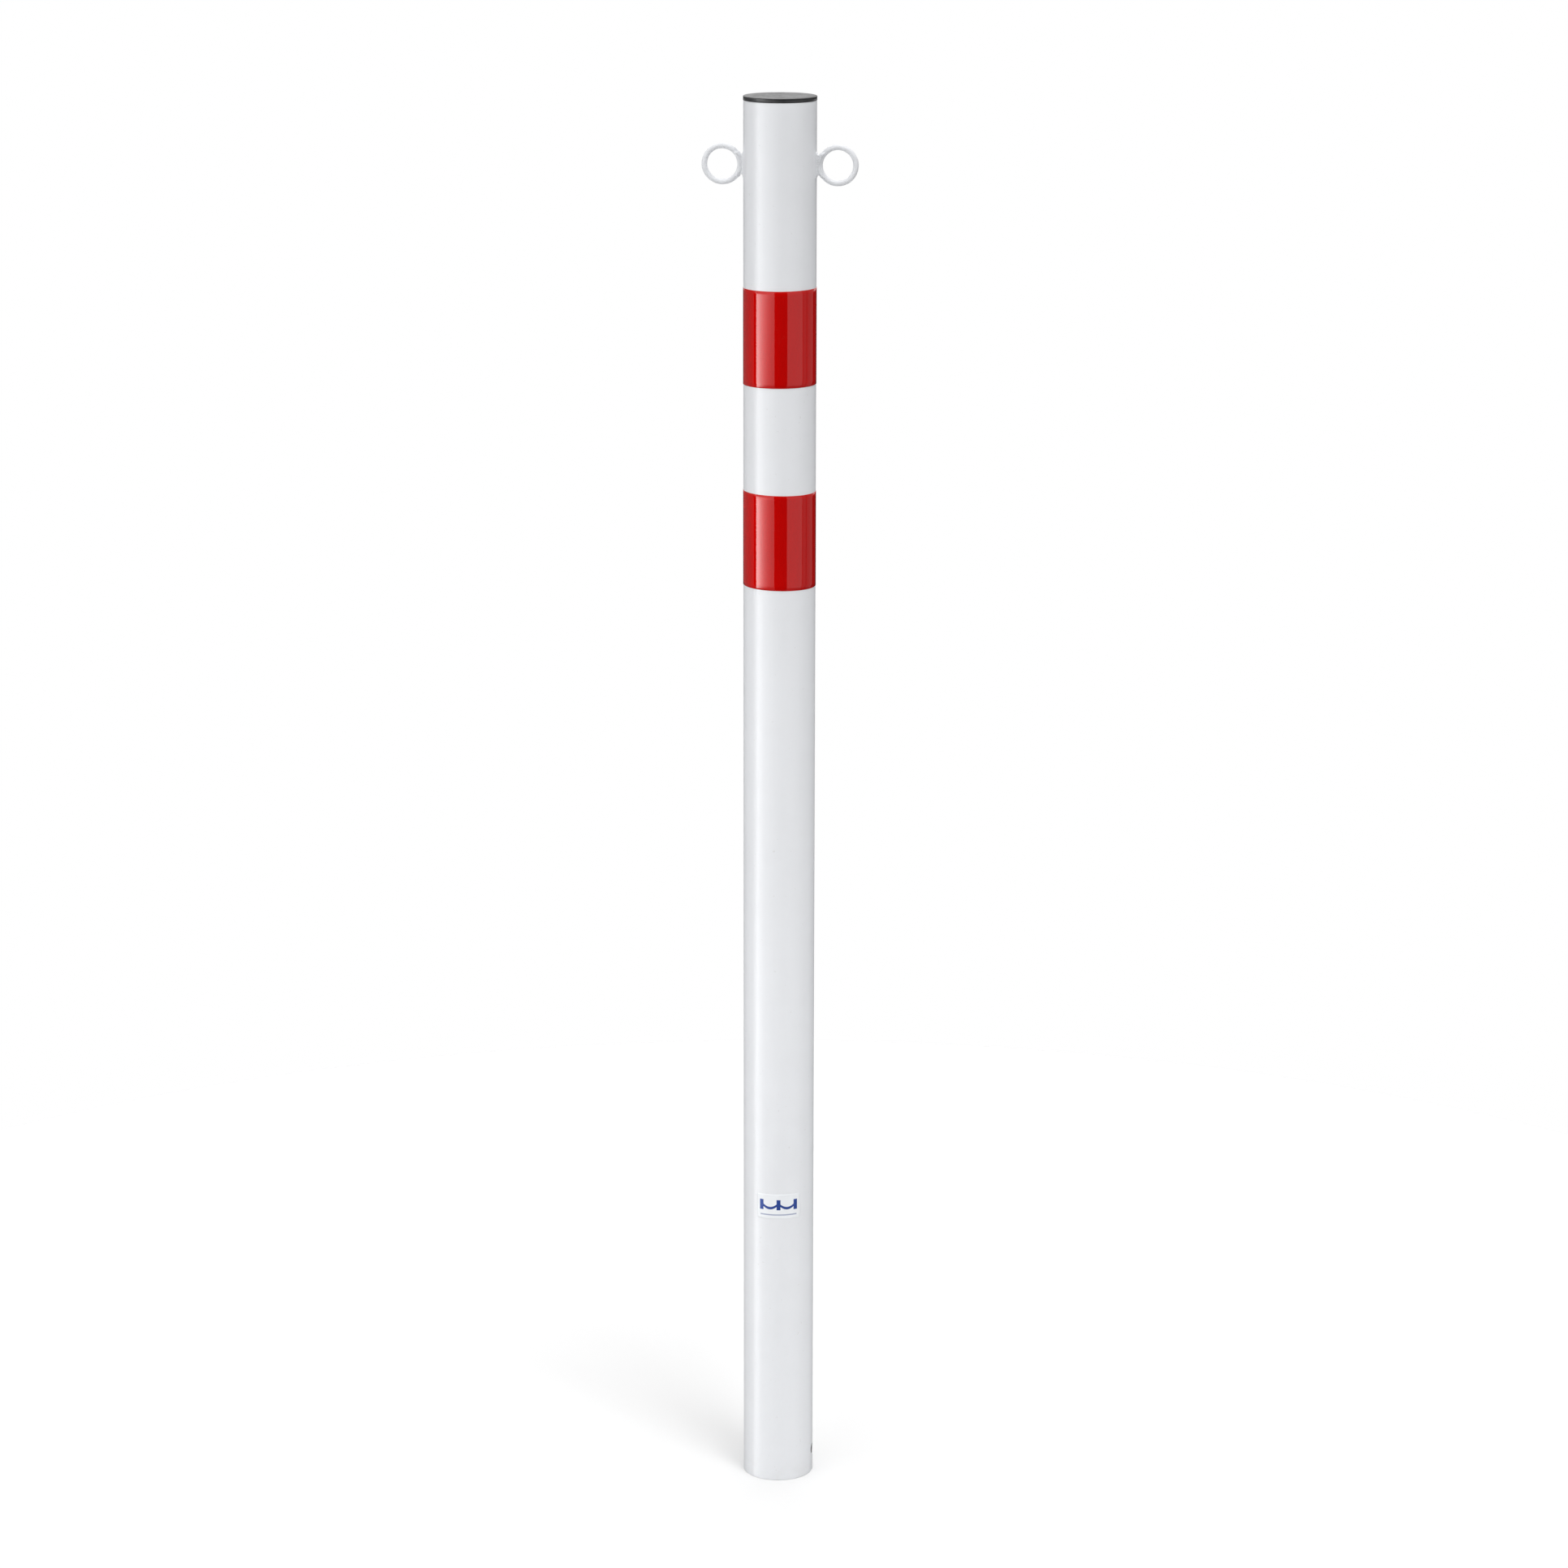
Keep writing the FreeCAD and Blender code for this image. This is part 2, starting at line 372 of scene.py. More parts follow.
def coated_tube_finish(sizes, colours):
    """Gloss coating on the tube: faint tone changes, orange peel, soil at the foot, bare bore, and the
    cross hole's wall painted as dark bare steel for painted shade in the hole.
    """
    material, start, place = new_finish("coated_tube")
    x, y, z = place.axes()
    radius = x.length_with(y)
    slow = place.stretched(14, 14, 5).noise(1.0, 3.0)
    cloudy = place.noise(60, 3.0)
    peel = place.noise(420, 2.0, 0.6)
    dust = place.noise(1600, 2.0)
    specks = place.noise(380, 1.0).rise(0.74, 0.80)
    handled = place.stretched(30, 30, 9).noise(1.0, 4.0, 0.65).rise(0.56, 0.80)

    tone = start.add("ShaderNodeValToRGB", {"stops": [
        (0.25, shaded(colours.coating, 0.965)),
        (0.5, opaque(colours.coating)),
        (0.75, shaded(colours.coating, 1.02)),
    ]}, {"Fac": slow * 0.7 + cloudy * 0.3})
    foot_soil = (1 - z.rise(0.0, 0.03)) * cloudy.rise(0.45, 0.75) * 0.10
    tone = (foot_soil + specks * 0.18).mix(tone, SOIL)

    # The cross hole's wall past its rounded edge is painted as dark bare steel: painted shade in the hole.
    # The bore's bare steel is the tube's own.
    hole_height = CROSS_HOLE["pos_m"][2]
    hole_reach = CROSS_HOLE["dims"]["r_mm"] * MM + sizes.cut_rounding
    hole_shade_mask = 1 - y.length_with(z - hole_height).rise(hole_reach, hole_reach + 0.1 * MM)
    half_wall = sizes.tube_wall / 2
    depth = TUBE_RADIUS - radius + hole_shade_mask * (half_wall - sizes.cut_rounding)
    inside = depth.rise(half_wall - 0.1 * MM, half_wall + 0.1 * MM)
    sprayed = (1 - z.rise(0.004, 0.013)) * 0.85 * cloudy.rise(0.25, 0.6)
    bare_steel_and_hole_shade = inside * (1 - sprayed)
    streaks = place.stretched(160, 160, 12).noise(1.0, 4.0, 0.6)
    steel = streaks.rise(0.35, 0.7).mix(shaded(colours.steel, 0.7), shaded(colours.steel, 1.15))
    tone = bare_steel_and_hole_shade.mix(tone, steel)

    finish_with(start, {"IOR": 1.5, "Specular IOR Level": 0.45}, {
        "Base Color": tone,
        "Roughness": 0.32 + handled * 0.06 + (dust - 0.5) * 0.05 + foot_soil * 0.5 + bare_steel_and_hole_shade * 0.2,
        "Metallic": bare_steel_and_hole_shade * 0.8,
    }, [
        (slow, 0.03 * MM),
        (peel, 0.010 * MM),
        (dust, 0.002 * MM),
    ])
    return material


def coated_fitting_finish(colours):
    """The same coating on the rings and the welds, a little duller, its colour painted a little darker than
    on the tube as painted shade, and rubbed in small spots.
    """
    material, start, place = new_finish("coated_fittings")
    peel = place.noise(500, 2.0, 0.6)
    cloudy = place.noise(120, 3.0)
    dust = place.noise(1800, 2.0)
    rubbed = place.noise(260, 3.0, 0.7).rise(0.62, 0.74)
    # The coating's colour is painted 3 to 7 percent darker than its own: painted shade on the small rings
    # and welds.
    tone = cloudy.rise(0.3, 0.7).mix(shaded(colours.coating, 0.93), shaded(colours.coating, 0.97))
    tone = (rubbed * 0.10).mix(tone, RUB_MARK)
    finish_with(start, {"IOR": 1.5, "Specular IOR Level": 0.25}, {
        "Base Color": tone,
        "Roughness": 0.36 + rubbed * 0.12 + (dust - 0.5) * 0.05,
    }, [
        (peel, 0.010 * MM),
        (dust, 0.002 * MM),
    ])
    return material


def cap_plastic_finish(colours):
    """Moulded black plastic with a fine spark texture, dulled and dusty on top; the dust also lightens the
    top as a painted sheen.
    """
    material, start, place = new_finish("cap_plastic")
    z = place.axes()[2]
    spark = place.noise(2600, 3.0, 0.6)
    cloudy = place.noise(90, 4.0, 0.6)
    flow = place.stretched(240, 60, 120).noise(1.0, 3.0)
    # Dust lightens the top face: partly real dust, partly a painted sheen standing in for the top's grazing
    # gloss.
    top = z.rise(CAP_HIGH.z - 1.2 * MM, CAP_HIGH.z - 0.2 * MM)
    dust = top * cloudy.rise(0.35, 0.75)
    fluff = place.stretched(900, 900, 900).noise(1.0, 1.0).rise(0.70, 0.78) * top
    tone = flow.rise(0.3, 0.7).mix(shaded(colours.plastic, 0.85), shaded(colours.plastic, 1.25))
    tone = (dust * 0.06 + fluff * 0.20).mix(tone, CAP_DUST_AND_SHEEN)
    finish_with(start, {"IOR": 1.49}, {
        "Base Color": tone,
        "Roughness": 0.38 + dust * 0.14 + (spark - 0.5) * 0.12,
    }, [
        (cloudy, 0.05 * MM),
        (spark, 0.012 * MM),
    ])
    return material


def band_finish(name, node, colours):
    """Red reflective film: a clear gloss face over a fine beaded layer, dusty along its edges."""
    material, start, place = new_finish(name)
    low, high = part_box(node)
    z = place.axes()[2]
    beads = place.noise(2400, 2.0, 0.7)
    slow = place.stretched(22, 22, 9).noise(1.0, 3.0)
    wavy = place.stretched(60, 60, 14).noise(1.0, 2.0)
    margin = 2.2 * MM
    edge = 1 - (z - low.z).rise(0.0, margin) * (high.z - z).rise(0.0, margin)
    scuffs = place.stretched(45, 45, 160).noise(1.0, 4.0, 0.7).rise(0.62, 0.78)
    tone = slow.rise(0.3, 0.7).mix(shaded(colours.film, 0.93), shaded(colours.film, 1.04))
    tone = beads.rise(0.35, 0.75).mix(tone, shaded(colours.film, 1.12))
    tone = (edge * slow.rise(0.35, 0.7) * 0.18 + scuffs * 0.05).mix(tone, FILM_DUST)
    finish_with(start, {
        "IOR": 1.5,
        "Specular IOR Level": 0.0,
        "Metallic": 0.19,
        "Coat IOR": 1.5,
        "Coat Roughness": 0.035,
    }, {
        "Base Color": tone,
        "Roughness": 0.48 + beads * 0.12,
        "Coat Weight": 1 - scuffs * 0.35 - edge * 0.2,
    }, [
        (wavy, 0.10 * MM),
        (beads, 0.0015 * MM),
    ])
    return material


def label_finish(colours):
    """White film with a plain printed sign of three posts and a chain, over a thin rule."""
    material, start, place = new_finish("label_print")
    turn, _, middle = label_place()
    x, y, z = place.axes()
    along = (x.bearing(y) - turn) * TUBE_RADIUS
    up = z - middle.z

    bay = 15 * MM
    soft = 0.2 * MM
    post_half = 1.6 * MM
    chain_half = 1.05 * MM
    chain_drop = 4.0 * MM
    rule_half, rule_reach = 0.45 * MM, 16.0 * MM
    sideways = abs(along)
    from_post = sideways.least(abs(sideways - bay))
    posts = (1 - from_post.rise(post_half, post_half + soft)) * up.between(-3.0 * MM, 6.0 * MM, soft)
    from_bay = abs(sideways - bay / 2) / (bay / 2)
    sag = from_bay * from_bay * chain_drop - 1.4 * MM
    chain = 1 - abs(up - sag).rise(chain_half, chain_half + soft)
    chain = chain * (1 - sideways.rise(bay, bay + soft / 2))
    inked = posts.most(chain)
    off_rule = abs(up + 7.4 * MM).rise(rule_half, rule_half + 0.25 * MM)
    off_rule = off_rule + sideways.rise(rule_reach, rule_reach + 0.3 * MM)
    worn = place.noise(700, 3.0, 0.7)
    print_gap = worn.rise(0.64, 0.74) * 0.2
    tone = place.noise(90, 2.0).rise(0.3, 0.7).mix(shaded(colours.paper, 0.96), opaque(colours.paper))
    tone = (inked * (1 - print_gap)).mix(tone, opaque(colours.ink))
    tone = ((1 - off_rule.least(1.0)) * 0.55).mix(tone, opaque(colours.ink))
    finish_with(start, {"IOR": 1.5}, {
        "Base Color": tone,
        "Roughness": 0.34 + inked * 0.08 + worn * 0.06,
    }, [(place.noise(160, 2.0), 0.03 * MM)])
    return material


def floor_finish(colours):
    """Matt studio floor with a barely mottled face."""
    material, start, place = new_finish("studio_floor")
    mottled = place.noise(3.0, 3.0)
    grain = place.noise(900, 2.0)
    tone = mottled.mix(shaded(colours.floor, 0.995), shaded(colours.floor, 1.005))
    finish_with(start, {"IOR": 1.45, "Specular IOR Level": 0.3}, {
        "Base Color": tone,
        "Roughness": 0.7 + grain * 0.1,
    }, [(grain, 0.01 * MM)])
    return material


def finish_named(name, make, *values):
    """The material of that name, made once."""
    return bpy.data.materials.get(name) or make(*values)


# ---------------------------------------------------------------- meshes

class Skin:
    """The points and faces of one piece while it is being made."""

    def __init__(self):
        self.points = []
        self.faces = []

    def loop(self, points):
        """Adds points and returns their numbers; a missing point stays missing."""
        numbers = []
        for point in points:
            if point is None:
                numbers.append(None)
            else:
                numbers.append(len(self.points))
                self.points.append(tuple(point))
        return numbers

    def join(self, first, second, closed=True):
        """Quads between two loops of the same count, none where a point is missing."""
        count = len(first)
        for here in range(count if closed else count - 1):
            there = (here + 1) % count
            corners = (first[here], first[there], second[there], second[here])
            if None not in corners:
                self.faces.append(corners)

    def cover(self, loop, centre):
        """Closes a loop with a fan of triangles round a point."""
        middle = self.loop([centre])[0]
        for here, there in zip(loop, loop[1:] + loop[:1]):
            self.faces.append((here, there, middle))

    def piece(self, name, material, crease_degrees=50):
        """The finished object, with its faces turned outwards."""
        mesh = bpy.data.meshes.new(name)
        mesh.from_pydata(self.points, [], self.faces)
        work = bmesh.new()
        work.from_mesh(mesh)
        bmesh.ops.recalc_face_normals(work, faces=work.faces)
        work.to_mesh(mesh)
        work.free()
        mesh.shade_smooth()
        mesh.set_sharp_from_angle(angle=math.radians(crease_degrees))
        mesh.materials.append(material)
        thing = bpy.data.objects.new(name, mesh)
        bpy.context.scene.collection.objects.link(thing)
        return thing


def arc(count, start, end):
    """Cosine and sine pairs from one angle to another, in degrees, both ends included."""
    steps = [start + (end - start) * step / count for step in range(count + 1)]
    return [(math.cos(math.radians(angle)), math.sin(math.radians(angle))) for angle in steps]


def spread(start, end, step):
    """Evenly spaced numbers from start to end, no further apart than step."""
    count = max(1, math.ceil((end - start) / step))
    return [start + (end - start) * number / count for number in range(count + 1)]


def place_piece(piece, node):
    """Puts a piece in place of its CAD node."""
    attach(piece, BODY)
    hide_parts(node)


def seam_bore(bore, height):
    """The bore's radius at an angle, with the tube's own weld seam at the back."""
    half_width = 1.3 * MM

    def radius_at(angle):
        off = (angle - TURN / 4) * bore
        return bore - height * math.exp(-((off / half_width) ** 2))

    return radius_at


class TubeSkin(Skin):
    """The tube: outer face, bore, rounded cut ends and the hole right through it."""

    # How many columns a hole's patch reaches to each side of the hole's middle.
    patch_half = 10
    # Where the patch's loops lie, from the hole's edge at 0 towards the patch's border at 1.
    patch_shares = (0.0, 0.25, 0.5, 0.75)
    # The most that rows are apart below the holes and above them.
    row_step_foot = 2.5 * MM
    row_step_tall = 9 * MM

    def __init__(self, radius, wall, rounding, low, high, hole_height, hole_radius, seam):
        super().__init__()
        self.radius = radius
        self.wall = wall
        self.rounding = rounding
        self.hole_height = hole_height
        self.hole_radius = hole_radius
        step = TURN * radius / COLUMNS
        reach = self.patch_half * step
        below = spread(low + rounding, hole_height - reach, self.row_step_foot)[:-1]
        across = spread(hole_height - reach, hole_height + reach, step)
        above = spread(hole_height + reach, high - rounding, self.row_step_tall)[1:]
        heights = below + across + above
        patch = range(len(below), len(below) + len(across))

        outer = [self.row(lambda angle: radius, z, n in patch[1:-1]) for n, z in enumerate(heights)]
        bore_at = seam_bore(radius - wall, seam)
        inner = [self.row(bore_at, z, n in patch[1:-1]) for n, z in enumerate(heights)]
        for rows in (outer, inner):
            for number, (here, there) in enumerate(zip(rows, rows[1:])):
                self.join_rows(here, there, patch[0] <= number < patch[-1])
        for end, sign, rows in ((low, 1, 0), (high, -1, -1)):
            self.cut_end(outer[rows], inner[rows], end, sign, bore_at)
        for side in (0, COLUMNS // 2):
            self.hole(
                self.border([outer[n] for n in patch], side),
                self.border([inner[n] for n in patch], side),
            )

    def in_patch(self, column):
        off = column % (COLUMNS // 2)
        return min(off, COLUMNS // 2 - off) < self.patch_half

    def row(self, radius_at, height, pierced):
        points = []
        for column in range(COLUMNS):
            angle = TURN * column / COLUMNS
            reach = radius_at(angle)
            missing = pierced and self.in_patch(column)
            point = (reach * math.cos(angle), reach * math.sin(angle), height)
            points.append(None if missing else point)
        return self.loop(points)

    def join_rows(self, here, there, pierced):
        for column in range(COLUMNS):
            after = (column + 1) % COLUMNS
            both = self.in_patch(column) or self.in_patch(after)
            if pierced and both:
                continue
            self.faces.append((here[column], here[after], there[after], there[column]))

    def cut_end(self, outer_row, inner_row, end, sign, bore_at):
        """The cut face, its edges rounded by the coating."""
        soft = self.rounding
        last = outer_row
        for cosine, sine in arc(5, 0, 90)[1:]:
            height = end + sign * soft * (1 - sine)
            row = self.row(lambda angle: self.radius - soft * (1 - cosine), height, False)
            self.join(last, row)
            last = row
        for cosine, sine in arc(5, 90, 0)[:-1]:
            height = end + sign * soft * (1 - sine)
            row = self.row(lambda angle: bore_at(angle) + soft * (1 - cosine), height, False)
            self.join(last, row)
            last = row
        self.join(last, inner_row)

    def border(self, rows, side):
        """The loop of points round a hole's patch."""
        columns = [(side + off) % COLUMNS for off in range(-self.patch_half, self.patch_half + 1)]
        loop = [rows[0][column] for column in columns]
        loop += [row[columns[-1]] for row in rows[1:]]
        loop += [rows[-1][column] for column in columns[-2::-1]]
        loop += [row[columns[0]] for row in rows[-2:0:-1]]
        return loop

    def hole(self, outer_loop, inner_loop):
        """One side of the cross hole, from the outer face through to the bore."""
        soft = self.rounding
        steps = [(share, self.hole_radius + soft, 0.0) for share in reversed(self.patch_shares)]
        for cosine, sine in arc(4, 0, 90)[1:]:
            steps.append((0.0, self.hole_radius + soft * (1 - sine), soft * (1 - cosine)))
        for cosine, sine in arc(4, 90, 0)[:-1]:
            steps.append((0.0, self.hole_radius + soft * (1 - sine), self.wall - soft * (1 - cosine)))
        steps += [(share, self.hole_radius + soft, self.wall) for share in self.patch_shares]
        last = outer_loop
        for share, reach, depth in steps:
            loop = inner_loop if depth > self.wall / 2 else outer_loop
            points = []
            for number in loop:
                x, y, z = self.points[number]
                angle = math.atan2(z - self.hole_height, y)
                across = share * y + (1 - share) * reach * math.cos(angle)
                height = share * z + (1 - share) * (self.hole_height + reach * math.sin(angle))
                out = math.sqrt((self.radius - depth) ** 2 - across ** 2)
                points.append((math.copysign(out, x), across, height))
            here = self.loop(points)
            self.join(last, here)
            last = here
        self.join(last, inner_loop)


def turned(skin, profile, count=COLUMNS):
    """Turns a profile of (radius, height) about the post's axis; a radius of 0 closes it with a fan."""
    loops = []
    for radius, height in profile:
        if radius == 0:
            loops.append(height)
        else:
            angles = [TURN * column / count for column in range(count)]
            points = [(radius * math.cos(angle), radius * math.sin(angle), height) for angle in angles]
            loops.append(skin.loop(points))
    for here, there in zip(loops, loops[1:]):
        if isinstance(here, float):
            skin.cover(there, (0, 0, here))
        elif isinstance(there, float):
            skin.cover(here, (0, 0, there))
        else:
            skin.join(here, there)


def cap_profile(sizes):
    """The cap from the middle of its top, over the rim and down the ribbed plug, to its underside."""
    top = CAP_HIGH.z
    seat = top - sizes.flange_thickness
    flange = (CAP_HIGH.x - CAP_LOW.x) / 2
    soft = sizes.flange_rounding
    inner = sizes.plug_radius - sizes.plug_wall
    bottom = CAP_LOW.z
    gate = 1.1 * MM
    dish = 0.30 * MM
    profile = [(0, top - dish), (gate * 0.7, top - dish)]
    profile += [(gate, top - 1.5 * dish), (gate * 1.25, top - dish)]
    for radius, drop in ((3, 0.22), (8, 0.17), (16, 0.10), (22, 0.05), (26.5, 0)):
        profile.append((radius * MM, top - drop * MM))
    profile += [(flange - soft * (1 - sine), top - soft * (1 - cosine)) for cosine, sine in arc(7, 0, 90)]
    step, slope = 0.10 * MM, 0.12 * MM
    step_top, step_foot = top - soft - 0.30 * MM, seat + 0.83 * MM
    profile += [
        (flange, step_top),
        (flange - step, step_top - slope),
        (flange - step, step_foot + slope),
        (flange, step_foot),
    ]
    edge = 0.4 * MM
    profile += [(flange - edge * (1 - cosine), seat + edge * (1 - sine)) for cosine, sine in arc(4, 0, 90)]
    profile += [(sizes.plug_radius + 0.5 * MM, seat), (sizes.plug_radius, seat - 0.5 * MM)]

    depth = seat - bottom
    pitch = depth / (sizes.rib_count + 0.5)
    half_root = sizes.rib_thickness / 2
    half_tip = half_root - 0.2 * MM
    rib = (
        (sizes.plug_radius, half_root + 0.25 * MM),
        (sizes.plug_radius + 0.3 * MM, half_root),
        (sizes.rib_radius - 0.2 * MM, half_tip),
        (sizes.rib_radius, half_tip - 0.15 * MM),
    )
    for number in range(sizes.rib_count):
        middle = seat - pitch * (number + 0.75)
        profile += [(radius, middle + off) for radius, off in rib]
        profile += [(radius, middle - off) for radius, off in reversed(rib)]
    lip = 0.5 * MM
    for cosine, sine in arc(4, 0, 90):
        profile.append((sizes.plug_radius - lip * (1 - cosine), bottom + lip * (1 - sine)))
    for cosine, sine in arc(4, 90, 0):
        profile.append((inner + lip * (1 - cosine), bottom + lip * (1 - sine)))
    profile += [(inner, seat - 0.8 * MM), (inner - 0.8 * MM, seat), (inner / 2, seat), (0, seat)]
    return [(radius, height) if radius else (0, float(height)) for radius, height in profile]


def ring_place(side):
    """Centre, mean radius and bar radius of a chain ring, from its CAD box."""
    low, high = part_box(f"chain_ring_{side}")
    bar = (high.y - low.y) / 2
    return (low + high) / 2, (high.z - low.z) / 2 - bar, bar


def ring_skin(side, phase):
    """A bent round bar: very slightly out of true, as a bent ring is."""
    centre, mean, bar = ring_place(side)
    skin = Skin()
    loops = []
    for turn in spread(0, TURN, TURN / 192)[:-1]:
        wander = 0.05 * MM * math.sin(2 * turn + phase) + 0.03 * MM * math.sin(5 * turn - phase)
        twist = 0.06 * MM * math.sin(2 * turn + 1.7 * phase)
        thick = bar + 0.02 * MM * math.sin(3 * turn + 2 * phase)
        points = []
        for around in spread(0, TURN, TURN / 40)[:-1]:
            out = mean + wander + thick * math.cos(around)
            points.append((
                centre.x + out * math.cos(turn),
                centre.y + twist + thick * math.sin(around),
                centre.z + out * math.sin(turn),
            ))
        loops.append(skin.loop(points))
    for here, there in zip(loops, loops[1:] + loops[:1]):
        skin.join(here, there)
    return skin


def smooth_least(first, second, soft):
    """The lesser of two distances, blended where they are within soft of each other."""
    share = np.clip(0.5 + 0.5 * (second - first) / soft, 0, 1)
    return second + (first - second) * share - soft * share * (1 - share)


def weld_field(side, upward, sizes):
    """Distance-like field of one weld bead, negative inside its metal."""
    centre, mean, bar = ring_place("right")
    radius = TUBE_RADIUS
    sink = 0.30 * MM
    toe = 1.4 * MM
    waist_depth = 0.45 * MM
    notch_radius = 1.45 * MM
    ripple_pitch, drift_pitch = 1.25 * MM, 3.1 * MM
    ring_end = np.sqrt(max((mean + bar) ** 2 - sizes.weld_height ** 2, 0))
    notch_x = (radius + centre.x - ring_end) / 2
    phase = 1.3 * side + 0.6 * upward

    def field(x, y, z):
        to_tube = np.hypot(x, y) - radius
        from_middle = np.hypot(x - centre.x, z)
        to_ring = np.hypot(from_middle - mean, y) - bar
        reach = np.sqrt(np.maximum((mean + bar) ** 2 - z ** 2, 0))
        gap = np.maximum(centre.x - reach - radius, 0.2 * MM)
        across = np.clip((x - radius) / gap, -0.5, 1.5)
        ripple = 0.07 * MM * np.sin(TURN * z / ripple_pitch + 2.6 * (y / (3 * MM)) ** 2 + phase)
        ripple += 0.05 * MM * np.sin(TURN * (z / drift_pitch + y / (5 * MM)) + 2 * phase)
        width = sizes.weld_width + (bar + 0.5 * MM - sizes.weld_width) * across
        waist = width - waist_depth * (1 - (2 * across - 1) ** 2) * np.clip(gap / (3 * MM), 0, 1)
        core = np.abs(y) - waist + ripple
        notch = notch_radius - np.hypot(x - notch_x, z - sizes.weld_height) + 0.02 * y ** 2 / MM
        beyond = z - sizes.weld_height
        core = -smooth_least(-core, -np.maximum(notch, beyond), 0.6 * MM)
        metal = smooth_least(smooth_least(core, to_tube, toe), to_ring, toe)
        metal = np.maximum(metal, core - 0.96 * toe)
        metal = np.maximum(metal, -to_tube - sink)
        metal = np.maximum(metal, -to_ring - sink)
        metal = np.maximum(metal, mean - 0.2 * MM - from_middle)
        return np.maximum(metal, -z - 0.02 * MM)

    return field


def netted(field, low, high, step):
    """Points and quads round the space where a field is negative, drawn in to its surface."""
    counts = [int(math.ceil((end - start) / step)) + 1 for start, end in zip(low, high)]
    lines = [start + step * np.arange(count) for start, count in zip(low, counts)]
    value = field(*np.meshgrid(*lines, indexing="ij"))
    corners = [(i, j, k) for i in (0, 1) for j in (0, 1) for k in (0, 1)]
    shape = tuple(count - 1 for count in counts)
    total = np.zeros(shape + (3,))
    crossings = np.zeros(shape)

    def part(corner):
        return value[tuple(slice(off, off + size) for off, size in zip(corner, shape))]

    for first in corners:
        for axis in range(3):
            if first[axis]:
                continue
            second = tuple(1 if number == axis else off for number, off in enumerate(first))
            here, there = part(first), part(second)
            crossed = (here < 0) != (there < 0)
            share = np.where(crossed, here / np.where(crossed, here - there, 1), 0)
            for number in range(3):
                off = first[number] + (share if number == axis else 0)
                total[..., number] += np.where(crossed, off, 0)
            crossings += crossed
    active = crossings > 0
    numbers = np.full(shape, -1)
    numbers[active] = np.arange(active.sum())
    points = np.array(low) + step * (np.argwhere(active) + total[active] / crossings[active][:, None])

    faces = []
    for axis in range(3):
        one, two = (axis + 1) % 3, (axis + 2) % 3
        start = [slice(1, -1)] * 3
        start[axis] = slice(0, -1)
        after = list(start)
        after[axis] = slice(1, None)
        here, there = value[tuple(start)] < 0, value[tuple(after)] < 0
        base = np.array([0 if number == axis else 1 for number in range(3)])
        found = np.argwhere(here != there) + base
        inward = here[here != there]
        quads = []
        for off_one, off_two in ((0, 0), (1, 0), (1, 1), (0, 1)):
            cell = found.copy()
            cell[:, one] -= off_one
            cell[:, two] -= off_two
            quads.append(numbers[tuple(cell.T)])
        quads = np.stack(quads, axis=1)
        quads[inward] = quads[inward][:, ::-1]
        faces += quads.tolist()

    nudge = step / 20
    for _ in range(3):
        level = field(*points.T)
        slope = np.stack([
            field(*(points + nudge * np.eye(3)[number]).T) - field(*(points - nudge * np.eye(3)[number]).T)
            for number in range(3)
        ], axis=1) / (2 * nudge)
        steepness = np.maximum((slope ** 2).sum(axis=1), 0.25)
        move = -(level / steepness)[:, None] * slope
        points += np.clip(move, -step / 3, step / 3)
    return points, faces


def weld_skin(side, upward, sizes):
    """One weld bead in its place; the field is worked out for the upper right one and mirrored."""
    centre = ring_place("right")[0]
    low = (TUBE_RADIUS - 3 * MM, -6 * MM, -0.6 * MM)
    high = (centre.x - 8 * MM, 6 * MM, sizes.weld_height + 3 * MM)
    points, faces = netted(weld_field(side, upward, sizes), low, high, 0.2 * MM)
    points = points * np.array([side, 1, upward]) + np.array([0, 0, centre.z])
    skin = Skin()
    skin.points = points.tolist()
    skin.faces = faces
    return skin


def band_skin(node, tilt, sizes):
    """A strip of film wound once round the tube, its end lapped over its start at the back."""
    low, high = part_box(node)
    middle = (low.z + high.z) / 2
    thick = sizes.film_thickness
    outer = TUBE_RADIUS + thick
    half = ((high.z - low.z) - 2 * outer * math.sin(abs(tilt))) / (2 * math.cos(tilt))
    lap = sizes.film_lap / outer
    begin = TURN / 4 - lap / 2
    bridge = 1.6 * MM / outer
    bevel = 0.06 * MM
    angles = spread(begin, begin + TURN + lap, TURN / COLUMNS)
    rows = [-half, -half + bevel] + spread(-half + bevel, half - bevel, 4 * MM)[1:-1] + [half - bevel, half]
    skin = Skin()
    sections = []
    for angle in angles:
        past = (angle - begin - TURN + bridge) / bridge
        share = min(1.0, max(0.0, past))
        under = TUBE_RADIUS + thick * share * share * (3 - 2 * share)
        over = under + thick
        face = [(under, row) for row in rows]
        back = [(over - (bevel if row in (rows[0], rows[-1]) else 0), row) for row in reversed(rows)]
        points = []
        for radius, row in face + back:
            x = radius * math.cos(angle)
            points.append((x, radius * math.sin(angle), middle + row / math.cos(tilt) - x * math.tan(tilt)))
        sections.append(skin.loop(points))
    for here, there in zip(sections, sections[1:]):
        skin.join(here, there)
    for section in (sections[0], sections[-1]):
        for here in range(len(rows) - 1):
            skin.faces.append((section[here], section[here + 1], section[-here - 2], section[-here - 1]))
    return skin


def label_place():
    """The label's turn from -Y towards +X, its half angle, and the middle of its box."""
    low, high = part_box("label")
    radius = -low.y
    left, right = math.asin(low.x / radius), math.asin(high.x / radius)
    return (left + right) / 2, (right - left) / 2, (low + high) / 2


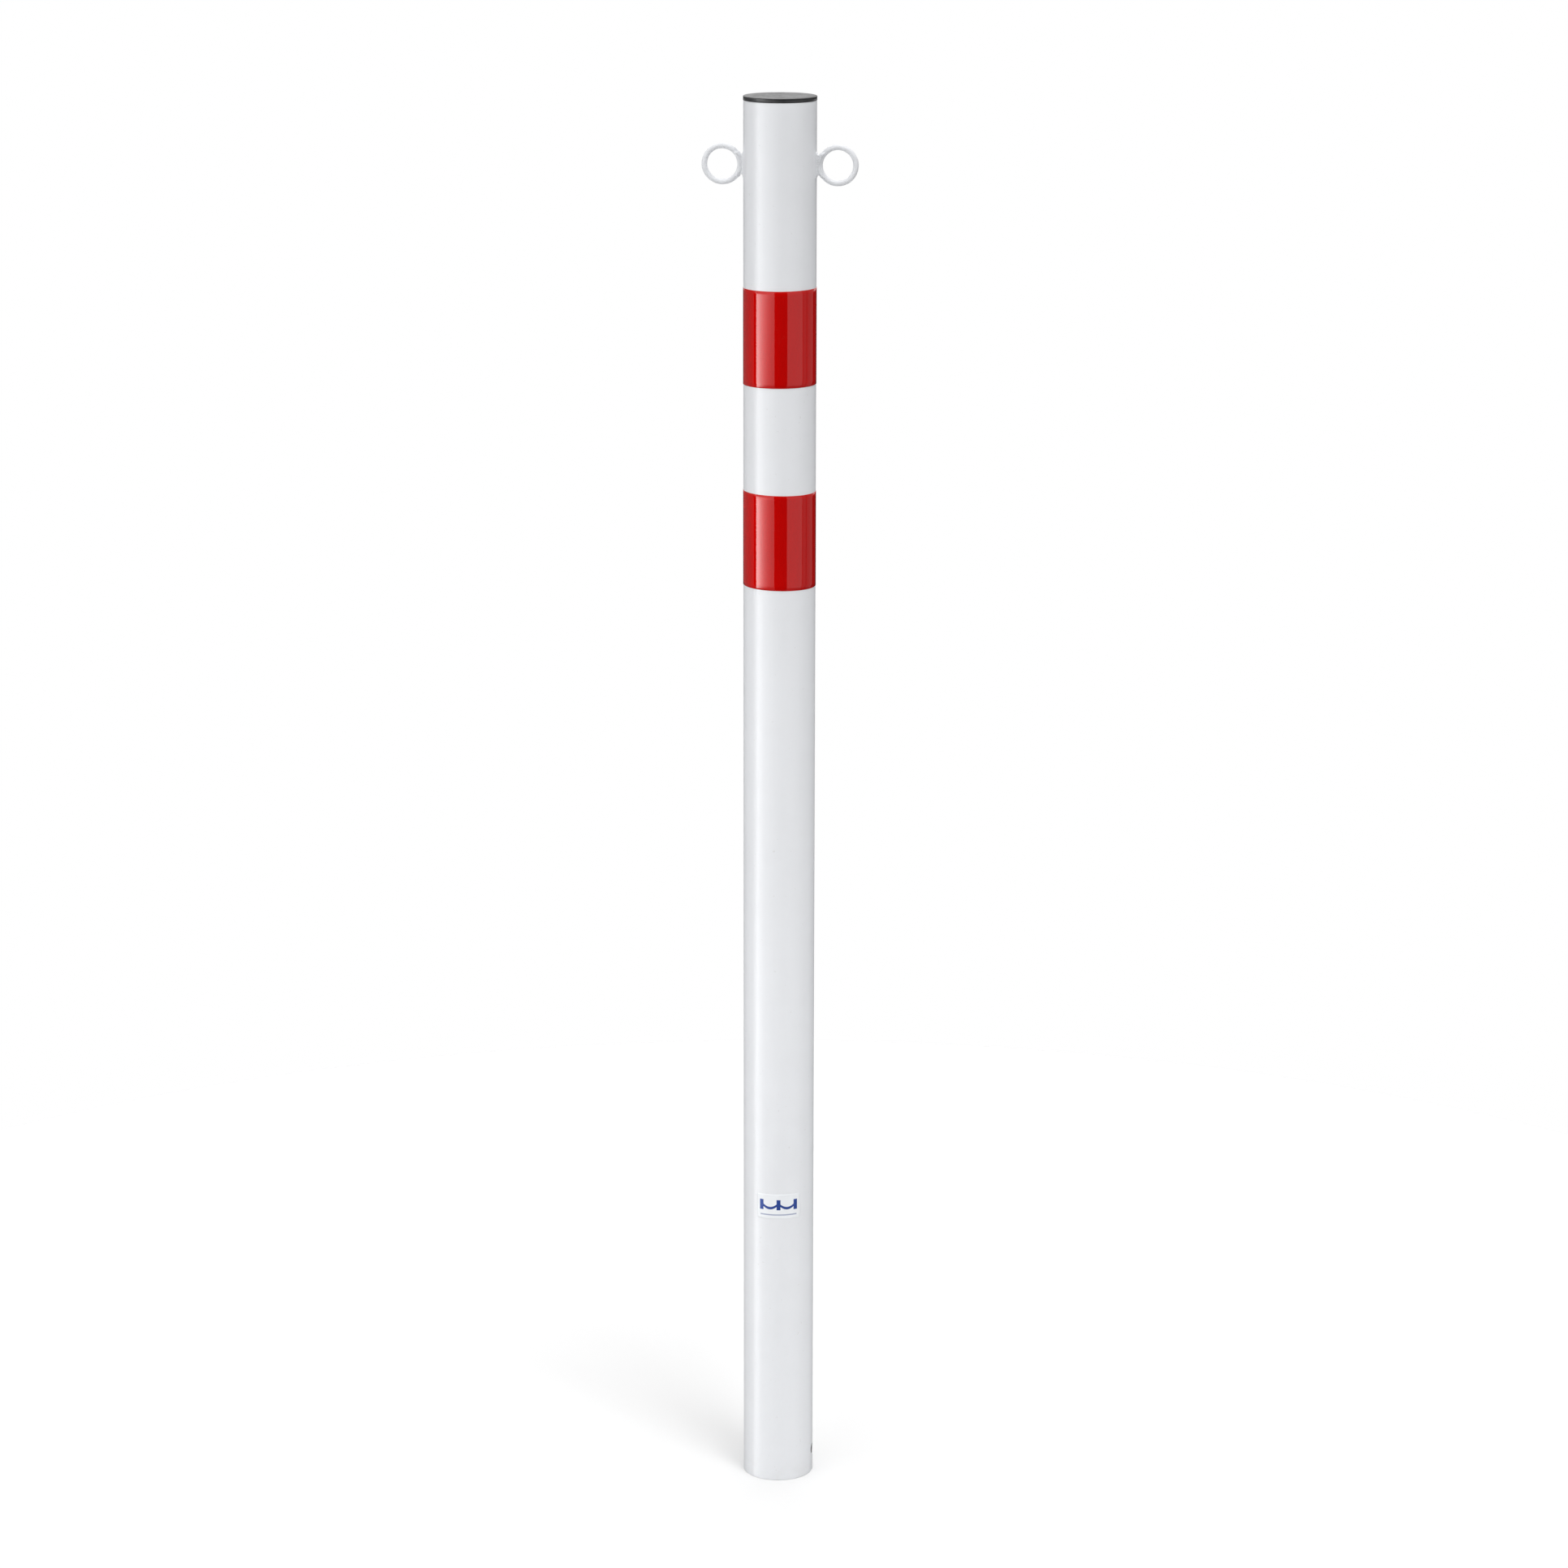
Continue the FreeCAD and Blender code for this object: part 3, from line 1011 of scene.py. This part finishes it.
def label_skin(sizes):
    """A thin sheet with rounded corners, wrapped on the tube."""
    low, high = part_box("label")
    turn, half_angle, middle = label_place()
    corner = sizes.label_corner
    face = TUBE_RADIUS + sizes.label_thickness
    half_height = (high.z - low.z) / 2
    half_width = half_angle * face
    outline = []
    for quarter, (along, up) in enumerate(((1, 1), (-1, 1), (-1, -1), (1, -1))):
        for cosine, sine in arc(6, 90 * quarter, 90 * quarter + 90):
            outline.append((
                along * (half_width - corner) + corner * cosine,
                up * (half_height - corner) + corner * sine,
            ))
    filled = []
    for here, there in zip(outline, outline[1:] + outline[:1]):
        pieces = max(1, round(math.dist(here, there) / (1.5 * MM)))
        for step in range(pieces):
            share = step / pieces
            filled.append((here[0] + share * (there[0] - here[0]), here[1] + share * (there[1] - here[1])))

    skin = Skin()
    bevel = 0.04 * MM
    shares = spread(0.08, 1, 0.08)

    def sheet(radius, shrink, share):
        points = []
        for along, up in filled:
            angle = turn + along * share * (1 - shrink / half_width) / face
            height = up * share * (1 - shrink / half_height)
            points.append((radius * math.sin(angle), -radius * math.cos(angle), middle.z + height))
        return skin.loop(points)

    under = [sheet(TUBE_RADIUS, 0, share) for share in shares]
    over = [sheet(face, bevel, share) for share in reversed(shares)]
    edge = sheet(face - bevel, 0, 1)
    loops = under + [edge] + over
    for here, there in zip(loops, loops[1:]):
        skin.join(here, there)
    for loop, radius in ((loops[0], TUBE_RADIUS), (loops[-1], face)):
        skin.cover(loop, (radius * math.sin(turn), -radius * math.cos(turn), middle.z))
    return skin


# ---------------------------------------------------------------- operators

class BARRIER_OT_tube(bpy.types.Operator):
    """Makes the coated steel tube with its cross hole"""

    bl_idname = "barrier.tube"
    bl_label = "Tube"

    def execute(self, context):
        sizes = context.scene.barrier_sizes
        hole_height = CROSS_HOLE["pos_m"][2]
        hole_radius = CROSS_HOLE["dims"]["r_mm"] * MM
        skin = TubeSkin(
            TUBE_RADIUS, sizes.tube_wall, sizes.cut_rounding, TUBE_LOW.z, TUBE_HIGH.z,
            hole_height, hole_radius, sizes.seam_height,
        )
        finish = finish_named("coated_tube", coated_tube_finish, sizes, context.scene.barrier_colours)
        place_piece(skin.piece("tube_coated", finish), "post_tube")
        return {"FINISHED"}


class BARRIER_OT_end_cap(bpy.types.Operator):
    """Makes the moulded insert cap"""

    bl_idname = "barrier.end_cap"
    bl_label = "End cap"

    def execute(self, context):
        skin = Skin()
        turned(skin, cap_profile(context.scene.barrier_sizes))
        finish = finish_named("cap_plastic", cap_plastic_finish, context.scene.barrier_colours)
        place_piece(skin.piece("cap_moulded", finish), "end_cap")
        return {"FINISHED"}


class BARRIER_OT_chain_rings(bpy.types.Operator):
    """Makes the two chain rings"""

    bl_idname = "barrier.chain_rings"
    bl_label = "Chain rings"

    def execute(self, context):
        finish = finish_named("coated_fittings", coated_fitting_finish, context.scene.barrier_colours)
        for side, phase in (("right", 0.4), ("left", 2.1)):
            ring = ring_skin(side, phase).piece(f"ring_{side}_coated", finish)
            place_piece(ring, f"chain_ring_{side}")
        return {"FINISHED"}


class BARRIER_OT_weld_beads(bpy.types.Operator):
    """Makes the four weld beads between the rings and the tube"""

    bl_idname = "barrier.weld_beads"
    bl_label = "Weld beads"

    def execute(self, context):
        sizes = context.scene.barrier_sizes
        finish = finish_named("coated_fittings", coated_fitting_finish, context.scene.barrier_colours)
        for side, across in (("right", 1), ("left", -1)):
            for level, upward in (("upper", 1), ("lower", -1)):
                name = f"{side}_{level}"
                bead = weld_skin(across, upward, sizes).piece(f"weld_{name}_coated", finish)
                place_piece(bead, f"weld_bead_{name}")
        return {"FINISHED"}


class BARRIER_OT_reflective_bands(bpy.types.Operator):
    """Makes the two wound bands of reflective film"""

    bl_idname = "barrier.reflective_bands"
    bl_label = "Reflective bands"

    def execute(self, context):
        sizes = context.scene.barrier_sizes
        for level, tilt in (("upper", sizes.upper_tilt), ("lower", sizes.lower_tilt)):
            node = f"reflective_band_{level}"
            finish = band_finish(f"red_film_{level}", node, context.scene.barrier_colours)
            band = band_skin(node, tilt, sizes).piece(f"band_{level}_film", finish)
            place_piece(band, node)
        return {"FINISHED"}


class BARRIER_OT_label(bpy.types.Operator):
    """Makes the small printed label"""

    bl_idname = "barrier.label"
    bl_label = "Label"

    def execute(self, context):
        sizes = context.scene.barrier_sizes
        finish = finish_named("label_print", label_finish, context.scene.barrier_colours)
        place_piece(label_skin(sizes).piece("label_sheet", finish), "label")
        return {"FINISHED"}


# ---------------------------------------------------------------- stage

# Azimuths and levels are in degrees, azimuths from -Y towards +X.
# Windows: first and last azimuth, brightness at each, softness of the edges.
STUDIO_WINDOWS = (
    (-78, -11, 1.25, 1.25, 2),
    (32.5, 84, 0.78, 0.78, 1.5),
    (88, 99, 0.35, 0.35, 3),
    (105, 133, 0.30, 0.30, 4),
    (-150, -80, 0.13, 0.25, 4),
)
# Below their sill the windows keep this share of their light.
WINDOW_SILL = (-34, -24)
BELOW_SILL = 0.3
CEILING_RISE = (24, 48)
STUDIO_GLOOM = 0.02
# The back window, whose sheen shows on the cap: its edge on both sides, its sill and its brightness.
BACK_EDGE = (130, 150)
BACK_SILL = (-1, 2)
BACK_BRIGHTNESS = 1.4
# What lights only the matt share of a surface: first and last azimuth, softness, brightness.
MATT_FILLS = (
    (-9, 31, 2, 1.0),
    (-175, -97, 5, 0.35),
    (102, 175, 5, 0.20),
)
# Its first and last level, and softness.
MATT_LEVELS = (-17, 0, 4)
# Overhead lamps: azimuth, level, bright radius and outer radius in degrees, brightness.
STUDIO_LAMPS = (
    (38, 72, 4.5, 7.5, 20.0),
    (18, 80, 8.0, 12.0, 5.0),
)
# The bright card that only gloss shows: a strip and a soft face, each by azimuth and by height in metres.
STRIP_ACROSS = (
    (-70.5, 6.0), (-61.0, 5.4), (-57.0, 3.6), (-50.0, 1.6), (-40.5, 0.3), (-32.0, 0.0), (-8.5, 0.0),
)
STRIP_UP = ((-1.4, 1.0), (0.23, 1.0), (0.5, 0.85), (0.69, 0.55), (1.5, 0.4))
SOFT_ACROSS = (
    (-70.5, 2.6), (-50.0, 2.6), (-40.5, 2.2), (-32.0, 1.7), (-24.0, 1.25), (-16.0, 1.0), (-8.5, 0.9),
)
SOFT_UP = (
    (-1.4, 0.25), (-1.2, 0.3), (-0.6, 0.5), (-0.1, 0.8), (0.23, 1.0), (0.5, 1.0), (0.69, 1.25), (1.5, 1.25),
)
# How far the card's left edge leans out below the floor's level, in degrees a metre.
CARD_LEAN = 7.0
CARD_EDGE = 0.5
CARD_DISTANCE = 3.0
CARD_HEIGHTS = (-1.4, 1.5)


def light_studio(studio):
    """A soft studio: tall windows round the post, a bright ceiling and two soft lamps overhead."""
    world = bpy.data.worlds.new("studio")
    bpy.context.scene.world = world
    world.use_nodes = True
    world.node_tree.nodes.clear()
    start = Wire(world.node_tree)
    toward = start.add("ShaderNodeTexCoord", out="Generated")
    x, y, z = toward.axes()
    azimuth = x.bearing(y) * math.degrees(1)
    level = z.math("ARCSINE", z) * math.degrees(1)
    back = abs(azimuth).rise(*BACK_EDGE) * level.rise(*BACK_SILL)
    windows = STUDIO_GLOOM + back * BACK_BRIGHTNESS
    matt = start.add("ShaderNodeLightPath", out="Is Diffuse Ray") * level.between(*MATT_LEVELS)
    for begin, end, soft, brightness in MATT_FILLS:
        windows = windows + matt * azimuth.between(begin, end, soft) * brightness
    for begin, end, first, last, soft in STUDIO_WINDOWS:
        slope = (last - first) / (end - begin)
        inside = azimuth.between(begin, end, soft)
        windows = windows + inside * (first + (azimuth - begin) * slope)
    ceiling = level.rise(*CEILING_RISE)
    windows = windows * (BELOW_SILL + (1 - BELOW_SILL) * level.rise(*WINDOW_SILL))
    light = windows * (1 - ceiling) + ceiling * studio.ceiling
    for turn, rise, bright, outer, brightness in STUDIO_LAMPS:
        turn, rise = math.radians(turn), math.radians(rise)
        lamp = Vector((math.sin(turn) * math.cos(rise), -math.cos(turn) * math.cos(rise), math.sin(rise)))
        facing = x * lamp.x + y * lamp.y + z * lamp.z
        edge = (math.cos(math.radians(outer)), math.cos(math.radians(bright)))
        light = light + facing.rise(*edge) * brightness * studio.key
    seen = start.add("ShaderNodeLightPath", out="Is Camera Ray")
    light = light * (1 - seen) + seen
    shader = start.add("ShaderNodeBackground", None, {"Color": (1.0, 1.0, 1.0, 1.0), "Strength": light})
    start.add("ShaderNodeOutputWorld", None, {"Surface": shader})


def hang_card():
    """A tall glowing card round the post's left, seen only in its gloss."""
    material, start, place = new_finish("studio_card")
    x, y, z = place.axes()
    begin, end = STRIP_ACROSS[0][0], STRIP_ACROSS[-1][0]
    left = begin + z.least(0.0) * CARD_LEAN
    azimuth = x.bearing(y) * math.degrees(1)
    across = end - (end - azimuth) * (end - begin) / (end - left)
    light = across.table(STRIP_ACROSS) * z.table(STRIP_UP) + across.table(SOFT_ACROSS) * z.table(SOFT_UP)
    light = light * azimuth.rise(left - CARD_EDGE, left)
    shader = start.add("ShaderNodeEmission", None, {"Strength": light})
    start.add("ShaderNodeOutputMaterial", None, {"Surface": shader})
    material.cycles.emission_sampling = "NONE"
    skin = Skin()
    angles = spread(math.radians(begin - 1.5 * CARD_LEAN), math.radians(end), math.radians(1.7))
    loops = [
        skin.loop([(CARD_DISTANCE * math.sin(a), -CARD_DISTANCE * math.cos(a), height) for a in angles])
        for height in CARD_HEIGHTS
    ]
    skin.join(*loops, closed=False)
    card = skin.piece("studio_card", material)
    card.visible_camera = False
    card.visible_diffuse = False
    card.visible_shadow = False


def lay_floor(studio, colours):
    """The studio floor that the post stands on."""
    skin = Skin()
    radii = (0, 0.3 * studio.floor_radius, studio.floor_radius)
    turned(skin, [(radius, cad_low.z) for radius in radii], 96)
    floor = skin.piece("studio_floor", finish_named("studio_floor", floor_finish, colours))
    floor.visible_glossy = False


def set_camera(studio):
    """A long lens that looks a little down on the post."""
    data = bpy.data.cameras.new("post_camera")
    data.lens = studio.lens
    data.sensor_width = 36.0
    data.dof.use_dof = False
    camera = bpy.data.objects.new("post_camera", data)
    bpy.context.scene.collection.objects.link(camera)
    place = Vector((math.sin(studio.azimuth), -math.cos(studio.azimuth), 0)) * studio.distance
    place.z = cad_high.z + studio.rise
    facing = studio.azimuth + studio.yaw
    ahead = Vector((-math.sin(facing), math.cos(facing), 0)) * math.cos(studio.pitch)
    ahead.z = -math.sin(studio.pitch)
    right = Vector((math.cos(facing), math.sin(facing), 0))
    up = right.cross(ahead)
    rolled_right = right * math.cos(studio.roll) + up * math.sin(studio.roll)
    rolled_up = up * math.cos(studio.roll) - right * math.sin(studio.roll)
    turned_to = Matrix((rolled_right, rolled_up, -ahead)).transposed()
    camera.matrix_world = Matrix.Translation(place) @ turned_to.to_4x4()
    bpy.context.scene.camera = camera


class BARRIER_OT_stage(bpy.types.Operator):
    """Makes the floor, the studio light and the camera"""

    bl_idname = "barrier.stage"
    bl_label = "Stage"

    def execute(self, context):
        studio = context.scene.barrier_studio
        lay_floor(studio, context.scene.barrier_colours)
        light_studio(studio)
        hang_card()
        set_camera(studio)
        context.scene.view_settings.view_transform = "Standard"
        return {"FINISHED"}


# ---------------------------------------------------------------- add-on

BUILDERS = (
    BARRIER_OT_tube,
    BARRIER_OT_end_cap,
    BARRIER_OT_chain_rings,
    BARRIER_OT_weld_beads,
    BARRIER_OT_reflective_bands,
    BARRIER_OT_label,
    BARRIER_OT_stage,
)
GROUPS = {
    "barrier_sizes": PostSizes,
    "barrier_colours": PostColours,
    "barrier_studio": StudioSettings,
}


class BARRIER_PT_post(bpy.types.Panel):
    """Lists the post's pieces, sizes and colours"""

    bl_idname = "BARRIER_PT_post"
    bl_label = "Chain barrier post"
    bl_space_type = "VIEW_3D"
    bl_region_type = "UI"
    bl_category = "Barrier post"

    def draw(self, context):
        for builder in BUILDERS:
            self.layout.operator(builder.bl_idname)
        for group_name, group in GROUPS.items():
            box = self.layout.box()
            for name in group.__annotations__:
                box.prop(getattr(context.scene, group_name), name)


def register():
    for item in (*GROUPS.values(), *BUILDERS, BARRIER_PT_post):
        bpy.utils.register_class(item)
    for name, group in GROUPS.items():
        setattr(bpy.types.Scene, name, PointerProperty(type=group))


def unregister():
    for name in GROUPS:
        delattr(bpy.types.Scene, name)
    for item in (BARRIER_PT_post, *reversed(BUILDERS), *reversed(GROUPS.values())):
        bpy.utils.unregister_class(item)


def main():
    """Builds every piece and the stage."""
    register()
    bpy.ops.barrier.tube()
    bpy.ops.barrier.end_cap()
    bpy.ops.barrier.chain_rings()
    bpy.ops.barrier.weld_beads()
    bpy.ops.barrier.reflective_bands()
    bpy.ops.barrier.label()
    bpy.ops.barrier.stage()


if __name__ == "__main__":
    main()
